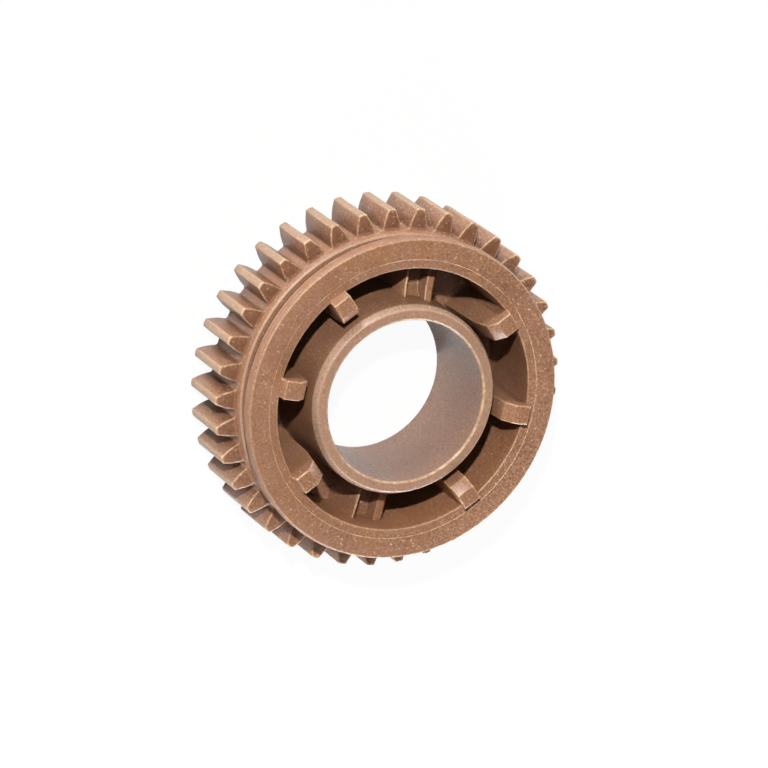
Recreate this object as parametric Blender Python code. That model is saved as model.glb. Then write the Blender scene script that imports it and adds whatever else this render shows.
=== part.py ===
# Toothed gear, moulded in one piece: a straight spur ring on an open drum, with a bored hub in the middle, six
# lugs that stand proud of the front rim and two spokes that tie the hub to the rim.
# Metres, +Z up. The gear lies on its back end, its axis on +Z, its origin at the bottom centre.
import math

import bmesh
import bpy
import numpy as np
from mathutils import Matrix, Vector

MM = 0.001

# Teeth
TEETH = 37
MODULE = 1.5
PRESSURE_ANGLE = math.radians(20)
ADDENDUM = 1.0
DEDENDUM = 1.25
TIP_ROUND = 0.38
ROOT_FILLET = 0.45
FLANK_THINNING = 0.03
TOOTH_WIDTH = 10.2

# Drum around the open cavity
FACE_Z = 16.2
RIM_INNER_R = 21.24
RIM_EDGE_ROUND = 0.18
LINE_R = 22.67
LINE_STEP = 0.05
COLLAR_R = 26.12
COLLAR_EDGE_IN = 0.26
COLLAR_EDGE_DOWN = 0.72
COLLAR_EDGE_BULGE = 0.3
COLLAR_BACK_Z = 14.3
NECK_R = 24.3
SHOULDER_Z = 11.14
SHOULDER_EDGE_R = 25.17
SHOULDER_BEND_R = 25.52
SHOULDER_R = 25.8
SHOULDER_DROP = 0.2
FLOOR_Z = 1.83
FLOOR_FILLET = 0.35

# Hub
HUB_Z = 16.96
HUB_FACE_R = 14.8
HUB_BEVEL_R = 15.38
HUB_BEVEL_Z = 15.75
HUB_FLOOR_R = 15.67
BORE_FRONT_R = 13.12
BORE_BACK_R = 12.72
BORE_EDGE = 0.3
BORE_BACK_EDGE = 0.2

# Plain back
BACK_RECESS_IN_R = 16.6
BACK_RECESS_OUT_R = 22.6
BACK_RECESS_DEPTH = 0.55
BACK_EDGE = 0.3

# Lugs, each a straight-sided block on the rim's inner wall
LUG_ANGLES = (0, 45, 135, 180, 225, 315)
LUG_WIDTH = 3.03
LUG_TOP_Z = 17.95
LUG_TOP_IN_R = 18.75
LUG_TOP_OUT_R = 21.23
LUG_FOOT_R = 21.62
LUG_RAMP_R = 17.21
LUG_RAMP_Z = 16.54
LUG_WAIST_R = 16.62
LUG_WAIST_Z = 12.6
LUG_FLOOR_R = 16.35
LUG_EDGE = 0.16
BROKEN_FROM = math.radians(35)

# Spokes, lofted through three stations that widen outward. Each corner of the section: sideways from the radial line,
# then its depth below the rim face at each station, from the thin lip over the channel to the broad rib towards +X
SPOKE_ANGLES = (90, 270)
SPOKE_STATIONS = (14.6, 16.9, 22.3)
SPOKE_SPREAD = (0.92, 1.0, 1.13)
SPOKE_TOP = (
    (1.87, (4.2, 4.5, 4.9)),
    (1.52, (4.2, 4.5, 4.9)),
    (1.48, (4.7, 6.9, 7.7)),
    (-1.22, (4.7, 6.9, 7.7)),
    (-1.45, (4.5, 6.7, 7.5)),
    (-1.5, (3.4, 4.4, 5.2)),
    (-1.7, (3.2, 4.2, 5.0)),
    (-2.65, (3.2, 4.2, 5.0)),
    (-3.05, (3.6, 4.6, 5.4)),
)

# How fine the round surfaces are, and how deep a joined piece reaches into its neighbour
ARCS_PER_TOOTH = 3
FLANK_POINTS = 5
ROUND_STEPS = 2
OVERLAP = 0.45
SMOOTH_ANGLE = math.radians(28)


def clear_scene():
    for obj in list(bpy.data.objects):
        bpy.data.objects.remove(obj, do_unlink=True)


def object_from(name, bm):
    mesh = bpy.data.meshes.new(name)
    bmesh.ops.recalc_face_normals(bm, faces=bm.faces)
    bm.to_mesh(mesh)
    bm.free()
    obj = bpy.data.objects.new(name, mesh)
    bpy.context.scene.collection.objects.link(obj)
    return obj


def revolve(name, profile, steps):
    """A closed (radius, height) outline in millimetres, spun once round +Z."""
    bm = bmesh.new()
    verts = [bm.verts.new((r * MM, 0, z * MM)) for r, z in profile]
    edges = [bm.edges.new((a, b)) for a, b in zip(verts, verts[1:] + verts[:1])]
    bmesh.ops.spin(
        bm,
        geom=verts + edges,
        cent=(0, 0, 0),
        axis=(0, 0, 1),
        angle=2 * math.pi,
        steps=steps,
        use_merge=True,
        use_duplicate=False,
    )
    bmesh.ops.remove_doubles(bm, verts=bm.verts, dist=1e-7)
    return object_from(name, bm)


def extrude(name, outline, height, matrix=None):
    """A closed outline in millimetres, drawn in XY, pushed up by height and then placed by a matrix."""
    bm = bmesh.new()
    face = bm.faces.new([bm.verts.new((x * MM, y * MM, 0)) for x, y in outline])
    pushed = bmesh.ops.extrude_face_region(bm, geom=[face])["geom"]
    bmesh.ops.translate(
        bm,
        verts=[v for v in pushed if isinstance(v, bmesh.types.BMVert)],
        vec=(0, 0, height * MM),
    )
    if matrix is not None:
        bm.transform(matrix)
    return object_from(name, bm)


def involute(angle):
    return math.tan(angle) - angle


def tooth_half():
    """One flank of a tooth, from the root to the tip: (radius, half angle) pairs."""
    pitch_r = MODULE * TEETH / 2
    base_r = pitch_r * math.cos(PRESSURE_ANGLE)
    tip_r = pitch_r + ADDENDUM * MODULE
    root_r = pitch_r - DEDENDUM * MODULE
    half_at_base = math.pi / (2 * TEETH) + involute(PRESSURE_ANGLE) - FLANK_THINNING / pitch_r

    def half(radius):
        return half_at_base - involute(math.acos(min(1.0, base_r / radius)))

    quarter = [math.pi / 2 * k / ROUND_STEPS for k in range(ROUND_STEPS + 1)]
    top = tip_r - TIP_ROUND
    points = []
    for a in quarter[:-1]:
        out, aside = ROOT_FILLET * (1 - math.cos(a)), ROOT_FILLET * (1 - math.sin(a))
        points.append((root_r + out, half_at_base + aside / root_r))
    for radius in np.linspace(root_r + ROOT_FILLET, top, FLANK_POINTS):
        points.append((float(radius), half(float(radius))))
    for a in quarter[1:]:
        points.append((top + TIP_ROUND * math.sin(a), half(top) - TIP_ROUND * (1 - math.cos(a)) / tip_r))
    return points


def gear_outline():
    """The whole toothed outline, anticlockwise. A gap between two teeth is centred on +X."""
    pitch = 2 * math.pi / TEETH
    flank = tooth_half()
    outline = []
    for k in range(TEETH):
        centre = (k + 0.5) * pitch
        polar = [(r, centre - a) for r, a in flank] + [(r, centre + a) for r, a in reversed(flank)]
        outline += [(r * math.cos(a), r * math.sin(a)) for r, a in polar]
    return outline


def body_profile():
    back_z = BACK_RECESS_DEPTH
    toothed_r = MODULE * TEETH / 2 - DEDENDUM * MODULE - OVERLAP
    return [
        (BORE_BACK_R + BORE_BACK_EDGE, 0),
        (BACK_RECESS_IN_R - BACK_EDGE, 0),
        (BACK_RECESS_IN_R, back_z),
        (BACK_RECESS_OUT_R, back_z),
        (BACK_RECESS_OUT_R + BACK_EDGE, 0),
        (toothed_r, 0),
        (toothed_r, TOOTH_WIDTH - OVERLAP),
        (SHOULDER_R, TOOTH_WIDTH - OVERLAP),
        (SHOULDER_R, TOOTH_WIDTH + SHOULDER_DROP),
        (SHOULDER_BEND_R, SHOULDER_Z - SHOULDER_DROP),
        (SHOULDER_EDGE_R, SHOULDER_Z),
        (NECK_R, SHOULDER_Z),
        (NECK_R, COLLAR_BACK_Z),
        (COLLAR_R, COLLAR_BACK_Z),
        (COLLAR_R, FACE_Z - COLLAR_EDGE_DOWN),
        (COLLAR_R - COLLAR_EDGE_BULGE * COLLAR_EDGE_IN, FACE_Z - COLLAR_EDGE_BULGE * COLLAR_EDGE_DOWN),
        (COLLAR_R - COLLAR_EDGE_IN, FACE_Z),
        (LINE_R + LINE_STEP, FACE_Z),
        (LINE_R, FACE_Z - LINE_STEP),
        (RIM_INNER_R + RIM_EDGE_ROUND, FACE_Z - LINE_STEP),
        (RIM_INNER_R, FACE_Z - LINE_STEP - RIM_EDGE_ROUND),
        (RIM_INNER_R, FLOOR_Z + FLOOR_FILLET),
        (RIM_INNER_R - FLOOR_FILLET, FLOOR_Z),
        (HUB_FLOOR_R + FLOOR_FILLET, FLOOR_Z),
        (HUB_FLOOR_R, FLOOR_Z + FLOOR_FILLET),
        (HUB_BEVEL_R, HUB_BEVEL_Z),
        (HUB_FACE_R, HUB_Z),
        (BORE_FRONT_R + BORE_EDGE, HUB_Z),
        (BORE_FRONT_R, HUB_Z - BORE_EDGE),
        (BORE_BACK_R, BORE_BACK_EDGE),
    ]


def upright(angle_deg):
    """Turns an outline drawn as (radius, height) into a plate that stands on the radial line at this angle."""
    stand = Matrix(((1, 0, 0, 0), (0, 0, -1, 0), (0, 1, 0, 0), (0, 0, 0, 1)))
    return Matrix.Rotation(math.radians(angle_deg), 4, "Z") @ stand


def lug(angle_deg):
    slope = (LUG_FOOT_R - LUG_TOP_OUT_R) / (LUG_TOP_Z - FACE_Z)
    buried_z = FACE_Z - OVERLAP
    buried_r = LUG_FOOT_R + slope * OVERLAP
    below = FLOOR_Z - OVERLAP
    outline = [
        (LUG_FLOOR_R, below),
        (buried_r, below),
        (buried_r, buried_z),
        (LUG_TOP_OUT_R, LUG_TOP_Z),
        (LUG_TOP_IN_R, LUG_TOP_Z),
        (LUG_RAMP_R, LUG_RAMP_Z),
        (LUG_WAIST_R, LUG_WAIST_Z),
    ]
    centred = upright(angle_deg) @ Matrix.Translation((0, 0, -LUG_WIDTH / 2 * MM))
    block = extrude("lug_%03d" % angle_deg, outline, LUG_WIDTH, centred)
    chamfer(block, LUG_EDGE, lowest=LUG_WAIST_Z + OVERLAP)
    return block


def chamfer(obj, width, lowest):
    """Breaks the edges of a block that lie above one height."""
    bm = bmesh.new()
    bm.from_mesh(obj.data)
    high = [e for e in bm.edges if min(v.co.z for v in e.verts) > lowest * MM]
    high = [e for e in high if e.calc_face_angle(0) > BROKEN_FROM]
    bmesh.ops.bevel(bm, geom=high, offset=width * MM, offset_type="OFFSET", segments=1, affect="EDGES")
    bm.to_mesh(obj.data)
    bm.free()


def spoke(angle_deg):
    """A channelled bar from hub to rim. The two bars mirror each other, so the rib faces +X on both."""
    below = FLOOR_Z - OVERLAP
    side = 1 if angle_deg < 180 else -1
    bm = bmesh.new()
    rings = []
    for station, radius in enumerate(SPOKE_STATIONS):
        top = [(t * SPOKE_SPREAD[station], FACE_Z - depths[station]) for t, depths in SPOKE_TOP]
        outline = [(top[0][0], below)] + top + [(top[-1][0], below)]
        rings.append([bm.verts.new((radius * MM, side * t * MM, z * MM)) for t, z in outline])
    for inner, outer in zip(rings, rings[1:]):
        for k in range(len(inner)):
            bm.faces.new((inner[k - 1], inner[k], outer[k], outer[k - 1]))
    bm.faces.new(rings[0])
    bm.faces.new(rings[-1])
    bm.transform(Matrix.Rotation(math.radians(angle_deg), 4, "Z"))
    return object_from("spoke_%03d" % angle_deg, bm)


def tooth_ring():
    """The toothed disc, with its middle cut away inside the drum wall and its end edges broken."""
    ring = extrude("tooth_ring", gear_outline(), TOOTH_WIDTH)
    inner = MODULE * TEETH / 2 - DEDENDUM * MODULE - 3 * OVERLAP
    steps = ARCS_PER_TOOTH * TEETH
    circle = [
        (inner * math.cos(2 * math.pi * k / steps), inner * math.sin(2 * math.pi * k / steps))
        for k in range(steps)
    ]
    middle = extrude("ring_middle", circle, TOOTH_WIDTH + 2, Matrix.Translation((0, 0, -MM)))
    boolean(ring, middle, "DIFFERENCE")
    return ring


def boolean(target, other, operation):
    """Joins or cuts at once, and clears the other object away."""
    modifier = target.modifiers.new(operation.lower(), "BOOLEAN")
    modifier.operation = operation
    modifier.solver = "EXACT"
    modifier.object = other
    graph = bpy.context.evaluated_depsgraph_get()
    made = bpy.data.meshes.new_from_object(target.evaluated_get(graph))
    target.modifiers.remove(modifier)
    old = target.data
    target.data = made
    bpy.data.meshes.remove(old)
    bpy.data.objects.remove(other, do_unlink=True)


def plastic():
    material = bpy.data.materials.new("brown_plastic")
    material.use_nodes = True
    shader = material.node_tree.nodes["Principled BSDF"]
    shader.inputs["Base Color"].default_value = (0.35, 0.19, 0.11, 1)
    shader.inputs["Roughness"].default_value = 0.42
    return material


def build():
    clear_scene()
    gear = revolve("gear", body_profile(), ARCS_PER_TOOTH * TEETH)
    boolean(gear, tooth_ring(), "UNION")
    for angle in LUG_ANGLES:
        boolean(gear, lug(angle), "UNION")
    for angle in SPOKE_ANGLES:
        boolean(gear, spoke(angle), "UNION")
    gear.data.name = "gear"
    gear.data.materials.clear()
    gear.data.materials.append(plastic())
    gear.data.shade_smooth()
    gear.data.set_sharp_from_angle(angle=SMOOTH_ANGLE)


build()
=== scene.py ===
# Toothed gear, moulded in one piece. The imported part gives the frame, and this script gives the
# fine surface, the plastic, the light and the camera.
import math

import bmesh
import bpy
import numpy as np
from mathutils import Matrix, Vector


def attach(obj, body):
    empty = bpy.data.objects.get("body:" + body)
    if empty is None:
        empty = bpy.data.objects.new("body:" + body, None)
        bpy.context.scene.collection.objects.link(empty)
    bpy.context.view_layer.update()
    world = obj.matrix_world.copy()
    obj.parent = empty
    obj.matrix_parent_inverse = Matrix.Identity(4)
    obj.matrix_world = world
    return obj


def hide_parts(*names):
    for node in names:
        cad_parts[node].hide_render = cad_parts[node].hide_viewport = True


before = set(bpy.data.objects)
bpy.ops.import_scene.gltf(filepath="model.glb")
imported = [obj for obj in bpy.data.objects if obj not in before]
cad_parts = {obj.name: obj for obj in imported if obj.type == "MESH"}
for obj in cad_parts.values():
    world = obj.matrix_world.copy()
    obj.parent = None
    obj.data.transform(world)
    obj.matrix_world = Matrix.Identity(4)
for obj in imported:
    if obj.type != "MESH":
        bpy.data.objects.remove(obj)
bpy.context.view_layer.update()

MM = 0.001

# Driving sizes, in millimetres and degrees, the same as the part's own
TEETH = 37
MODULE = 1.5
PRESSURE_ANGLE = math.radians(20)
FLANK_THINNING = 0.03
TIP_ROUND = 0.38
ROOT_FILLET = 0.42
TOOTH_WIDTH = 10.2
PITCH_R = MODULE * TEETH / 2
TIP_R = PITCH_R + MODULE
ROOT_R = PITCH_R - 1.25 * MODULE
BASE_R = PITCH_R * math.cos(PRESSURE_ANGLE)

FACE_Z = 16.2
FLOOR_Z = 1.83
RIM_INNER_R = 21.24
LINE_R, LINE_STEP = 22.67, 0.05
COLLAR_R, COLLAR_BACK_Z = 26.12, 14.3
NECK_R = 24.3
SHOULDER_Z, SHOULDER_EDGE_R, SHOULDER_R = 11.14, 25.17, 25.8

HUB_Z, HUB_FACE_R, HUB_FLOOR_R = 16.96, 14.8, 15.67
HUB_BEVEL = (15.38, 15.75)  # radius and height where the bevel starts
BORE_FRONT_R, BORE_BACK_R, BORE_CHAMFER = 13.12, 12.72, 0.3

BACK_RECESS = (16.6, 22.6, 0.55)  # inner radius, outer radius, depth
BACK_EDGE = 0.3

LUG_ANGLES = (0, 45, 135, 180, 225, 315)
LUG_WIDTH, LUG_TOP_Z = 3.03, 17.95
LUG_TOP_IN_R, LUG_TOP_OUT_R, LUG_FOOT_R = 18.75, 21.23, 21.62
LUG_RAMP = (17.21, 16.54)  # radius and height
LUG_WAIST = (16.62, 12.6)
LUG_FLOOR_R = 16.35

# Stations along a spoke, how much wider it is at each, and the corners of its top: sideways place,
# depth below the rim face at each station, and corner radius
SPOKE_ANGLES = (90, 270)
SPOKE_STATIONS = (14.6, 16.9, 22.3)
SPOKE_SPREAD = (0.92, 1.0, 1.13)
SPOKE_TOP = (
    (1.87, (4.2, 4.5, 4.9), 0.12),
    (1.52, (4.2, 4.5, 4.9), 0.12),
    (1.48, (4.7, 6.9, 7.7), 0.12),
    (-1.45, (4.7, 6.9, 7.7), 0.25),
    (-1.5, (3.2, 4.2, 5.0), 0.25),
    (-2.65, (3.2, 4.2, 5.0), 0.2),
    (-3.05, (3.6, 4.6, 5.4), 0.2),
)
OVERLAP = 0.45  # how far one body reaches into the next
STEPS = TEETH * 8
TOOTH_EDGE, LUG_EDGE = 0.14, 0.16
SHARP_ANGLE = math.radians(32)

# Colours of the plastic, its stains and its wear, and of painted shade, highlights and sheen, as
# linear values
PLASTIC = (
    (0.35, (0.17, 0.072, 0.041)),
    (0.5, (0.308, 0.15, 0.085)),
    (0.67, (0.52, 0.315, 0.205)),
)
GOLDEN_STAIN, GREY_STAIN = (0.32, 0.145, 0.05), (0.34, 0.19, 0.14)
# The bore's grey is partly shaft wear and partly painted sheen
BORE_WEAR_AND_SHEEN, BORE_EDGE = (0.26, 0.172, 0.15), (0.82, 0.6, 0.36)
# The hub end's pale is partly washer wear and partly painted sheen; the bevel's is a painted highlight
HUB_END_WEAR_AND_SHEEN, BEVEL_HIGHLIGHT = (0.48, 0.32, 0.24), (0.6, 0.46, 0.36)
# The crest's pale is a painted highlight and the neck's dark is painted shade
CREST_HIGHLIGHT, NECK_SHADE, RIM_LINE_TAN = (0.72, 0.55, 0.42), (0.08, 0.034, 0.02), (0.72, 0.52, 0.33)
# The tooth ends and roots get painted shade, the tips a painted sheen
TOOTH_END_SHADE, TOOTH_ROOT_SHADE, TOOTH_TIP_SHEEN = (0.15, 0.056, 0.03), (0.13, 0.055, 0.03), (0.56, 0.41, 0.28)
# Painted shade and painted light on the rim's inside wall
WALL_SHADE, WALL_LIT_GOLDEN = (0.1, 0.035, 0.02), (0.42, 0.18, 0.075)
# The first is painted shade in hollows; the second is edge wear
HOLLOW_SHADE, WORN_EDGE = (0.04, 0.018, 0.012), (0.88, 0.6, 0.34)
PALE_SPECK, DARK_SPECK = (0.75, 0.55, 0.4), (0.12, 0.05, 0.03)

# Name, azimuth and angle off the axis in degrees, distance and width in metres, watts, colour
LIGHTS = (
    ("key", 137, 38.5, 0.7, 0.025, 5.6, (1, 0.985, 0.95)),
    ("above", 150, 25, 0.7, 0.1, 0.25, (1, 1, 1)),
    ("left", 120, 85, 0.7, 0.25, 3.1, (0.93, 0.97, 1)),
    ("near_right", 300, 84, 0.25, 0.12, 1.35, (0.85, 0.93, 1)),
    ("low", 270, 86, 0.7, 0.25, 3.2, (0.86, 0.94, 1)),
    ("right", 30, 86, 0.7, 0.25, 1.6, (1, 1, 1)),
)
LIGHTS_AIM = Vector((0, 0, 0.01))
FLOOR_SIZE, FLOOR_DROP, FLOOR_WHITE = 6, 0.02 * MM, 0.8
FLOOR_SEEN, FLOOR_REFLECTED = 0.95, 0.35
WALL_REFLECTED, WORLD_FAINT = 0.6, 0.01

# The photograph's viewing angle, fitted to the gear's circles
LENS, SENSOR = 258.62, 36
CAMERA_PLACE = Vector((-382.967, 193.811, 758.702)) * MM
CAMERA_AXES = (
    (0.89147933, 0.21259423, 0.40008537),
    (-0.09493451, 0.95112111, -0.29386404),
    (-0.44300344, 0.22399181, 0.86808734),
)


def rounded(corners, steps=3):
    """A closed outline of (x, y, corner radius), each corner an arc that meets both sides smoothly."""
    points = []
    count = len(corners)
    for i, (x, y, radius) in enumerate(corners):
        here = Vector((x, y))
        before = Vector(corners[i - 1][:2]) - here
        after = Vector(corners[(i + 1) % count][:2]) - here
        turn = math.pi - before.angle(after)
        if radius <= 0 or turn < 0.05:
            points.append((x, y))
            continue
        reach = min(radius * math.tan(turn / 2), 0.45 * before.length, 0.45 * after.length)
        arc_radius = reach / math.tan(turn / 2)
        before, after = before.normalized(), after.normalized()
        centre = here + (before + after).normalized() * math.hypot(arc_radius, reach)
        first, last = here + before * reach - centre, here + after * reach - centre
        swing = first.angle(last)
        for k in range(steps + 1):
            blend = k / steps
            swung = first * math.sin((1 - blend) * swing) + last * math.sin(blend * swing)
            points.append(tuple(centre + swung / math.sin(swing)))
    return points


def object_from(name, bm):
    """A scene object of the bmesh, its faces turned outward."""
    bmesh.ops.recalc_face_normals(bm, faces=bm.faces)
    mesh = bpy.data.meshes.new(name)
    bm.to_mesh(mesh)
    bm.free()
    obj = bpy.data.objects.new(name, mesh)
    bpy.context.scene.collection.objects.link(obj)
    return obj


def around(steps):
    return [2 * math.pi * k / steps for k in range(steps)]


def revolve(name, profile, steps):
    """A closed body of (radius, height) turned about Z."""
    bm = bmesh.new()
    rings = []
    for r, z in profile:
        rings.append([
            bm.verts.new((r * MM * math.cos(a), r * MM * math.sin(a), z * MM)) for a in around(steps)
        ])
    for lower, upper in zip(rings, rings[1:] + rings[:1]):
        for k in range(steps):
            j = (k + 1) % steps
            bm.faces.new((lower[k], lower[j], upper[j], upper[k]))
    return object_from(name, bm)


def loft(name, layers):
    """A closed body through outlines of equal length, given as (x, y, z) points in millimetres."""
    bm = bmesh.new()
    rings = [[bm.verts.new((x * MM, y * MM, z * MM)) for x, y, z in layer] for layer in layers]
    for lower, upper in zip(rings, rings[1:]):
        for k in range(len(lower)):
            j = (k + 1) % len(lower)
            bm.faces.new((lower[k], lower[j], upper[j], upper[k]))
    bm.faces.new(rings[0])
    bm.faces.new(rings[-1])
    return object_from(name, bm)


def offset(outline, distance):
    """The outline pulled inward by a distance, along the bisector of its sides."""
    count = len(outline)
    moved = []
    for i, (x, y) in enumerate(outline):
        ax, ay = outline[i - 1]
        bx, by = outline[(i + 1) % count]
        n1 = Vector((ay - y, x - ax)).normalized()
        n2 = Vector((y - by, bx - x)).normalized()
        n = n1 + n2
        n = n / max(n.dot(n1), 0.35)
        moved.append((x + n.x * distance, y + n.y * distance))
    return moved


def softened(name, outline, low, high, radius, steps=3):
    """An outline pushed from one height to another, its end edges rounded."""
    layers = []
    for k in range(steps + 1):
        a = math.pi / 2 * k / steps
        layers.append((radius * (1 - math.sin(a)), low + radius * (1 - math.cos(a))))
    layers += [(inset, low + high - z) for inset, z in reversed(layers)]
    return loft(name, [[(x, y, z) for x, y in offset(outline, inset)] for inset, z in layers])


def involute(angle):
    return math.tan(angle) - angle


def tooth_flank(fillet_steps=4, flank_steps=10, tip_steps=3):
    """(radius, half angle of the tooth) from the floor of the gap up to the tip."""
    half_at_base = math.pi / (2 * TEETH) + involute(PRESSURE_ANGLE) - FLANK_THINNING / PITCH_R

    def half(radius):
        return half_at_base - involute(math.acos(min(1.0, BASE_R / radius)))

    points = []
    for k in range(fillet_steps + 1):
        a = math.pi / 2 * k / fillet_steps
        points.append((ROOT_R + ROOT_FILLET * (1 - math.cos(a)),
                       half_at_base + ROOT_FILLET * (1 - math.sin(a)) / ROOT_R))
    top = TIP_R - TIP_ROUND
    for radius in np.linspace(ROOT_R + ROOT_FILLET, top, flank_steps + 1)[1:]:
        points.append((float(radius), half(float(radius))))
    for k in range(1, tip_steps + 1):
        a = math.pi / 2 * k / tip_steps
        points.append((top + TIP_ROUND * math.sin(a),
                       half(top) - TIP_ROUND * (1 - math.cos(a)) / TIP_R))
    return points


def gear_outline():
    flank = tooth_flank()
    outline = []
    for k in range(TEETH):
        centre = 2 * math.pi * (k + 0.5) / TEETH
        polar = [(r, centre - a) for r, a in flank]
        polar += [(r, centre + a) for r, a in reversed(flank)]
        outline += [(r * math.cos(a), r * math.sin(a)) for r, a in polar]
    return outline


def drum_profile():
    """(radius, height) from the bore's back edge round the outside to its front edge."""
    inner, outer, depth = BACK_RECESS
    buried = ROOT_R - OVERLAP
    return rounded([
        (BORE_BACK_R, 0, 0.22),
        (inner - BACK_EDGE, 0, 0.12),
        (inner, depth, 0.1),
        (outer, depth, 0.1),
        (outer + BACK_EDGE, 0, 0.12),
        (buried, 0, 0),
        (buried, TOOTH_WIDTH - OVERLAP, 0),
        (SHOULDER_R, TOOTH_WIDTH - OVERLAP, 0),
        (SHOULDER_R, TOOTH_WIDTH + 0.2, 0.2),
        (SHOULDER_R - 0.28, SHOULDER_Z - 0.12, 0.5),
        (SHOULDER_EDGE_R, SHOULDER_Z, 0.08),
        (NECK_R, SHOULDER_Z, 0.12),
        (NECK_R, COLLAR_BACK_Z, 0.12),
        (COLLAR_R, COLLAR_BACK_Z, 0.1),
        (COLLAR_R, FACE_Z - 0.7, 0.5),
        (COLLAR_R - 0.27, FACE_Z, 0.14),
        (LINE_R + LINE_STEP, FACE_Z, 0.03),
        (LINE_R, FACE_Z - LINE_STEP, 0.03),
        (RIM_INNER_R, FACE_Z - LINE_STEP, 0.2),
        (RIM_INNER_R, FLOOR_Z, 0.4),
        (HUB_FLOOR_R, FLOOR_Z, 0.4),
        (*HUB_BEVEL, 0.4),
        (HUB_FACE_R, HUB_Z, 0.25),
        (BORE_FRONT_R + BORE_CHAMFER, HUB_Z, 0.06),
        (BORE_FRONT_R, HUB_Z - BORE_CHAMFER, 0.1),
    ])


def stand_on(angle_deg, across):
    """Matrix that stands an outline up: of (radius, height), or of (sideways, height) if across."""
    turn = Matrix.Rotation(math.radians(angle_deg), 4, "Z")
    if across:
        return turn @ Matrix(((0, 0, 1, 0), (1, 0, 0, 0), (0, 1, 0, 0), (0, 0, 0, 1)))
    return turn @ Matrix(((1, 0, 0, 0), (0, 0, -1, 0), (0, 1, 0, 0), (0, 0, 0, 1)))


def lug(angle_deg):
    slope = (LUG_FOOT_R - LUG_TOP_OUT_R) / (LUG_TOP_Z - FACE_Z)
    buried_r = LUG_FOOT_R + slope * OVERLAP
    below = FLOOR_Z - OVERLAP
    outline = rounded([
        (LUG_FLOOR_R, below, 0),
        (buried_r, below, 0),
        (buried_r, FACE_Z - OVERLAP, 0),
        (LUG_TOP_OUT_R, LUG_TOP_Z, 0.22),
        (LUG_TOP_IN_R, LUG_TOP_Z, 0.2),
        (*LUG_RAMP, 0.25),
        (*LUG_WAIST, 1.2),
    ])
    block = softened("lug", outline, -LUG_WIDTH / 2, LUG_WIDTH / 2, LUG_EDGE)
    block.data.transform(stand_on(angle_deg, False))
    return block


def spoke(angle_deg):
    """Both spokes have their rib towards +X, so the second is the first one's mirror image."""
    below = FLOOR_Z - OVERLAP
    side = 1 if angle_deg < 180 else -1
    layers = []
    for station, radius in enumerate(SPOKE_STATIONS):
        spread = SPOKE_SPREAD[station]
        top = [(t * spread, FACE_Z - depths[station], edge) for t, depths, edge in SPOKE_TOP]
        outline = rounded([(top[0][0], below, 0)] + top + [(top[-1][0], below, 0)])
        layers.append([(side * t, z, radius) for t, z in outline])
    block = loft("spoke", layers)
    block.data.transform(stand_on(angle_deg, True))
    return block


def evaluated_mesh(obj):
    return bpy.data.meshes.new_from_object(obj.evaluated_get(bpy.context.evaluated_depsgraph_get()))


def union(target, others):
    """One closed body from all of them."""
    group = bpy.data.collections.new("joined")
    for other in others:
        group.objects.link(other)
    modifier = target.modifiers.new("join", "BOOLEAN")
    modifier.operation, modifier.solver = "UNION", "EXACT"
    modifier.operand_type = "COLLECTION"
    modifier.collection = group
    made = evaluated_mesh(target)
    target.modifiers.remove(modifier)
    target.data = made
    for other in others:
        bpy.data.objects.remove(other, do_unlink=True)
    bpy.data.collections.remove(group)


def tooth_ring():
    """The teeth on a ring that is hollow well inside the drum's wall."""
    ring = softened("ring", gear_outline(), 0, TOOTH_WIDTH, TOOTH_EDGE)
    inner = ROOT_R - 3 * OVERLAP
    hole = loft("hole", [
        [(inner * math.cos(a), inner * math.sin(a), z) for a in around(STEPS)]
        for z in (-1, TOOTH_WIDTH + 1)
    ])
    cut = ring.modifiers.new("cut", "BOOLEAN")
    cut.operation, cut.solver, cut.object = "DIFFERENCE", "EXACT", hole
    ring.data = evaluated_mesh(ring)
    ring.modifiers.clear()
    bpy.data.objects.remove(hole, do_unlink=True)
    return ring


def make_gear():
    gear = revolve("gear_body", drum_profile(), STEPS)
    parts = [tooth_ring()]
    parts += [lug(angle) for angle in LUG_ANGLES]
    parts += [spoke(angle) for angle in SPOKE_ANGLES]
    union(gear, parts)
    gear.data.name = "gear_body"
    gear.data.shade_smooth()
    gear.data.set_sharp_from_angle(angle=SHARP_ANGLE)
    return gear


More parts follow.
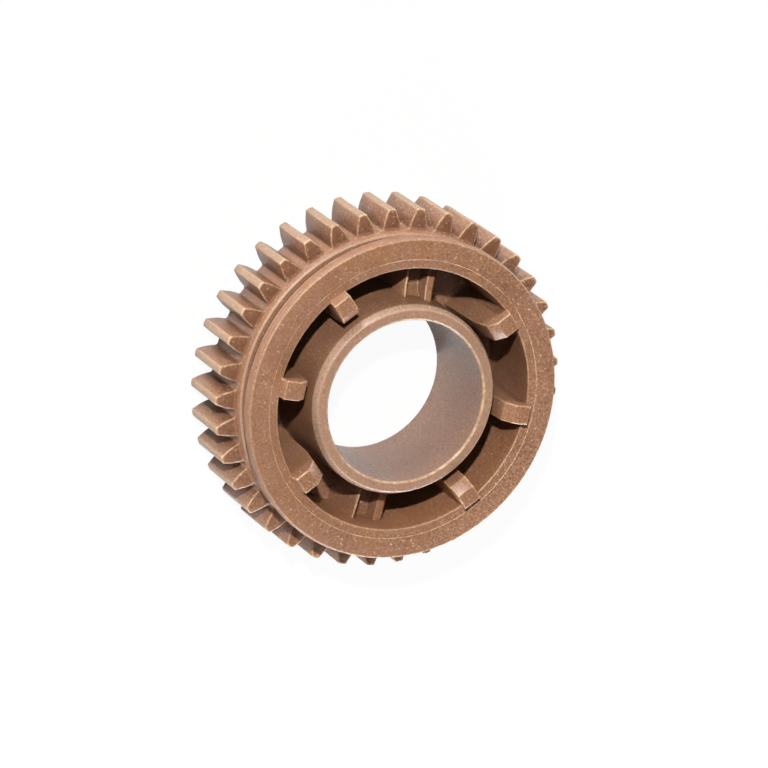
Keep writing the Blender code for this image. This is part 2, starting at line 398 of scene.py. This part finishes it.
class Nodes:
    """Builds a node tree. Each value is a number or another node's socket."""

    def __init__(self, tree):
        self.tree = tree

    def add(self, kind, inputs=(), **settings):
        made = self.tree.nodes.new(kind)
        for key, value in settings.items():
            setattr(made, key, value)
        for key, value in dict(inputs).items():
            if isinstance(value, bpy.types.NodeSocket):
                self.tree.links.new(value, made.inputs[key])
            else:
                made.inputs[key].default_value = value
        return made

    def link(self, value, shader, name):
        self.tree.links.new(value, shader.inputs[name])

    def math(self, operation, a, b):
        return self.add("ShaderNodeMath", {0: a, 1: b}, operation=operation).outputs[0]

    def times(self, first, *others):
        for other in others:
            first = self.math("MULTIPLY", first, other)
        return first

    def span(self, value, low, high, to_low=0.0, to_high=1.0):
        """The value's place between low and high, held within the two results."""
        return self.add("ShaderNodeMapRange", {
            "Value": value, "From Min": low, "From Max": high, "To Min": to_low, "To Max": to_high,
        }).outputs["Result"]

    def within(self, value, low, high, soft):
        """1 between two sizes in millimetres, with a soft border."""
        return self.times(self.span(value, (low - soft) * MM, low * MM),
                          self.span(value, (high + soft) * MM, high * MM))

    def noise(self, place, scale, detail, roughness=0.5):
        return self.add("ShaderNodeTexNoise", {
            "Vector": place, "Scale": scale, "Detail": detail, "Roughness": roughness,
        }).outputs["Fac"]

    def ramp(self, factor, stops):
        made = self.add("ShaderNodeValToRGB", {"Fac": factor})
        elements = made.color_ramp.elements
        while len(elements) < len(stops):
            elements.new(0.5)
        for element, (position, colour) in zip(elements, stops):
            element.position, element.color = position, (*colour, 1)
        return made.outputs["Color"]

    def tint(self, colour, amount, towards):
        return self.add("ShaderNodeMix", {0: amount, 6: colour, 7: (*towards, 1)},
                        data_type="RGBA").outputs[2]

    def occlusion(self, distance, inside=False):
        return self.add("ShaderNodeAmbientOcclusion", {"Distance": distance},
                        samples=8, inside=inside).outputs["AO"]


def plastic():
    material = bpy.data.materials.new("brown_plastic")
    material.use_nodes = True
    n = Nodes(material.node_tree)
    shader = n.tree.nodes["Principled BSDF"]
    coordinates = n.add("ShaderNodeTexCoord")
    place = coordinates.outputs["Object"]
    x, y, height = n.add("ShaderNodeSeparateXYZ", {"Vector": place}).outputs
    flat = n.add("ShaderNodeCombineXYZ", {"X": x, "Y": y}).outputs[0]
    radius = n.add("ShaderNodeVectorMath", {0: flat}, operation="LENGTH").outputs["Value"]
    facing_up = n.add("ShaderNodeSeparateXYZ", {"Vector": coordinates.outputs["Normal"]}).outputs["Z"]

    def zone(radii, heights, soft=0.2, soft_height=None):
        """1 between two radii and two heights, in millimetres."""
        return n.times(n.within(radius, *radii, soft),
                       n.within(height, *heights, soft if soft_height is None else soft_height))

    bore = n.within(radius, 0, BORE_FRONT_R, 0.15)
    bore_edge = zone((BORE_FRONT_R + 0.1, BORE_FRONT_R + BORE_CHAMFER),
                     (HUB_Z - BORE_CHAMFER, HUB_Z + 1), 0.08, 0.2)
    hub_end = zone((0, HUB_FACE_R + 0.3), (HUB_Z - 0.25, HUB_Z + 1))
    bevel = zone((HUB_FACE_R, HUB_FLOOR_R), (HUB_BEVEL[1], HUB_Z - 0.2))
    lug_tops = zone((LUG_RAMP[0] - 0.3, LUG_TOP_OUT_R), (FACE_Z + 0.2, LUG_TOP_Z + 1))
    crest = zone((SHOULDER_EDGE_R, SHOULDER_R), (SHOULDER_Z - 0.1, SHOULDER_Z + 1), 0.1, 0.08)
    neck = zone((NECK_R - 0.2, NECK_R + 0.2), (SHOULDER_Z - 0.6, COLLAR_BACK_Z + 0.1), 0.15)
    line = zone((LINE_R - 0.02, LINE_R + LINE_STEP + 0.02), (FACE_Z - 0.2, FACE_Z + 0.1), 0.05, 0.1)
    teeth = zone((COLLAR_R + 0.2, TIP_R + 1), (-1, TOOTH_WIDTH + 0.3))
    tooth_ends = n.times(teeth, n.span(facing_up, 0.5, 0.8))
    tooth_roots = n.times(teeth, n.span(radius, (TIP_R - 0.6) * MM, (ROOT_R + 0.4) * MM))
    tooth_tips = n.times(teeth, n.span(radius, (TIP_R - 0.5) * MM, (TIP_R - 0.1) * MM))
    rim_wall = n.times(n.within(radius, RIM_INNER_R - 1.2, RIM_INNER_R + 0.1, 0.3),
                       n.within(height, FLOOR_Z, FACE_Z - 0.4, 0.2), n.span(facing_up, 0.6, 0.3))

    # Fine grain over faint clouds: stronger towards +X and on the teeth, weaker where it is rubbed
    grain = n.noise(place, 2800, 3, 0.8)
    clouds = n.span(n.noise(place, 150, 3, 0.6), 0.2, 0.8, 0.46, 0.54)
    strength = n.math("ADD", n.span(x, -22 * MM, 22 * MM, 0.42, 0.75), n.times(teeth, 0.35))
    strength = n.times(strength, n.span(bore, 0, 1, 1.0, 0.5), n.span(lug_tops, 0, 1, 1.0, 0.5))
    shade = n.math("ADD", n.times(n.math("SUBTRACT", grain, 0.5), strength), clouds)
    stain = n.noise(place, 280, 4, 0.7)
    rubbed = n.span(n.noise(place, 1300, 4, 0.75), 0.34, 0.54)
    specks = n.noise(place, 2800, 1)
    hollow = n.occlusion(0.008)
    edge = n.occlusion(0.0004, inside=True)

    # Each tint lies over those before it
    colour = n.ramp(shade, PLASTIC)
    tints = (
        (n.span(stain, 0.52, 0.68, 0.0, 0.45), GOLDEN_STAIN),
        (n.span(stain, 0.46, 0.32, 0.0, 0.3), GREY_STAIN),
        # The bore is greyer: rubbed by its shaft, and a painted sheen
        (n.times(bore, 0.4), BORE_WEAR_AND_SHEEN),
        # The hub's end is paler: worn by a washer, and a painted sheen; its bevel has a painted
        # highlight
        (n.times(hub_end, 0.3), HUB_END_WEAR_AND_SHEEN),
        (n.times(bevel, 0.3), BEVEL_HIGHLIGHT),
        (n.times(bore_edge, n.span(n.noise(place, 1100, 3, 0.7), 0.42, 0.6, 0, 0.6)), BORE_EDGE),
        # A painted highlight on the shoulder's crest and painted shade in the neck behind it
        (n.times(crest, 0.25), CREST_HIGHLIGHT),
        (n.times(neck, 0.6), NECK_SHADE),
        # A pale tan line along the rim's step
        (n.times(line, n.span(n.noise(place, 700, 3, 0.8), 0.4, 0.6, 0.1, 0.55)), RIM_LINE_TAN),
        # Red-brown painted shade on the ends of the teeth, deeper towards +Y, and mottled painted
        # shade at their roots
        (n.times(tooth_ends, n.span(y, -15 * MM, 10 * MM, 0.28, 0.48)), TOOTH_END_SHADE),
        (n.times(tooth_roots, n.span(n.noise(place, 900, 4, 0.8), 0.4, 0.6, 0.2, 0.65)), TOOTH_ROOT_SHADE),
        # A painted sheen on their tips
        (n.times(tooth_tips, 0.35), TOOTH_TIP_SHEEN),
        # The inside wall of the rim has dark brown painted shade towards +Y and golden painted light
        # towards -Y
        (n.times(rim_wall, n.span(y, -16 * MM, 4 * MM, 0.0, 0.4)), WALL_SHADE),
        (n.times(rim_wall, n.span(y, 0, -14 * MM), n.span(grain, 0.38, 0.62, 0.1, 0.55)), WALL_LIT_GOLDEN),
        # Painted shade where the surface is closed in, and pale rubbed edges where it stands out
        (n.span(hollow, 0.6, 0.05, 0.0, 0.5), HOLLOW_SHADE),
        (n.times(n.span(edge, 0.9, 0.62), rubbed, n.span(hollow, 0.35, 0.7, 0.05, 1.0)), WORN_EDGE),
        (n.times(n.span(specks, 0.72, 0.76), 0.6), PALE_SPECK),
        (n.times(n.span(specks, 0.28, 0.24), 0.5), DARK_SPECK),
    )
    for amount, towards in tints:
        colour = n.tint(colour, amount, towards)
    n.link(colour, shader, "Base Color")

    polished = n.math("ADD", n.times(bore, 0.1), n.times(n.math("MAXIMUM", bevel, lug_tops), 0.12))
    n.link(n.math("SUBTRACT", n.span(grain, 0.3, 0.7, 0.32, 0.46), polished), shader, "Roughness")
    bump = n.add("ShaderNodeBump", {"Height": grain, "Strength": 0.4, "Distance": 0.00012})
    n.link(bump.outputs["Normal"], shader, "Normal")
    return material


def make_floor():
    """White to the camera, a third as bright in reflections, and it keeps the gear's shadow."""
    bpy.ops.mesh.primitive_plane_add(size=FLOOR_SIZE, location=(0, 0, -FLOOR_DROP))
    floor = bpy.context.object
    floor.name = "floor"
    material = bpy.data.materials.new("floor_white")
    material.use_nodes = True
    n = Nodes(material.node_tree)
    shader = n.tree.nodes["Principled BSDF"]
    shader.inputs["Base Color"].default_value = (FLOOR_WHITE, FLOOR_WHITE, FLOOR_WHITE, 1)
    shader.inputs["Roughness"].default_value = 0.9
    glow = n.add("ShaderNodeEmission", {"Color": (1, 1, 1, 1), "Strength": 1.0})
    ray = n.add("ShaderNodeLightPath").outputs
    seen = n.math("MAXIMUM", n.times(ray["Is Camera Ray"], FLOOR_SEEN),
                  n.times(ray["Is Glossy Ray"], FLOOR_REFLECTED))
    mix = n.add("ShaderNodeMixShader", {0: seen, 1: shader.outputs[0], 2: glow.outputs[0]})
    n.link(mix.outputs[0], n.tree.nodes["Material Output"], "Surface")
    floor.data.materials.append(material)


def area_light(name, azimuth, off_axis, distance, size, watts, colour):
    data = bpy.data.lights.new(name, "AREA")
    data.shape, data.size, data.energy, data.color = "DISK", size, watts, colour
    light = bpy.data.objects.new(name, data)
    bpy.context.scene.collection.objects.link(light)
    a, t = math.radians(azimuth), math.radians(off_axis)
    towards = Vector((math.sin(t) * math.cos(a), math.sin(t) * math.sin(a), math.cos(t)))
    light.location = towards * distance
    light.rotation_mode = "QUATERNION"
    light.rotation_quaternion = (light.location - LIGHTS_AIM).to_track_quat("Z", "Y")


def make_world():
    """Faint everywhere, but white near the horizon in reflections, as a studio's walls are."""
    world = bpy.data.worlds.new("world")
    bpy.context.scene.world = world
    world.use_nodes = True
    n = Nodes(world.node_tree)
    direction = n.add("ShaderNodeTexCoord").outputs["Generated"]
    up = n.add("ShaderNodeSeparateXYZ", {"Vector": direction}).outputs["Z"]
    glossy = n.add("ShaderNodeLightPath").outputs["Is Glossy Ray"]
    walls = n.times(n.span(up, 0.1, 0.4, WALL_REFLECTED, 0.0), glossy)
    background = n.tree.nodes["Background"]
    background.inputs["Color"].default_value = (1, 1, 1, 1)
    n.link(n.math("MAXIMUM", walls, WORLD_FAINT), background, "Strength")


def make_camera():
    data = bpy.data.cameras.new("camera")
    data.lens, data.sensor_width, data.sensor_fit = LENS, SENSOR, "HORIZONTAL"
    data.clip_start, data.clip_end = 0.05, 10
    camera = bpy.data.objects.new("camera", data)
    bpy.context.scene.collection.objects.link(camera)
    turn = Matrix(CAMERA_AXES).transposed().to_4x4()
    camera.matrix_world = Matrix.Translation(CAMERA_PLACE) @ turn
    bpy.context.scene.camera = camera


gear = make_gear()
gear.data.materials.clear()
gear.data.materials.append(plastic())
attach(gear, "root")
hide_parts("gear")

make_floor()
make_camera()
for light in LIGHTS:
    area_light(*light)
make_world()
bpy.context.scene.view_settings.view_transform = "Standard"
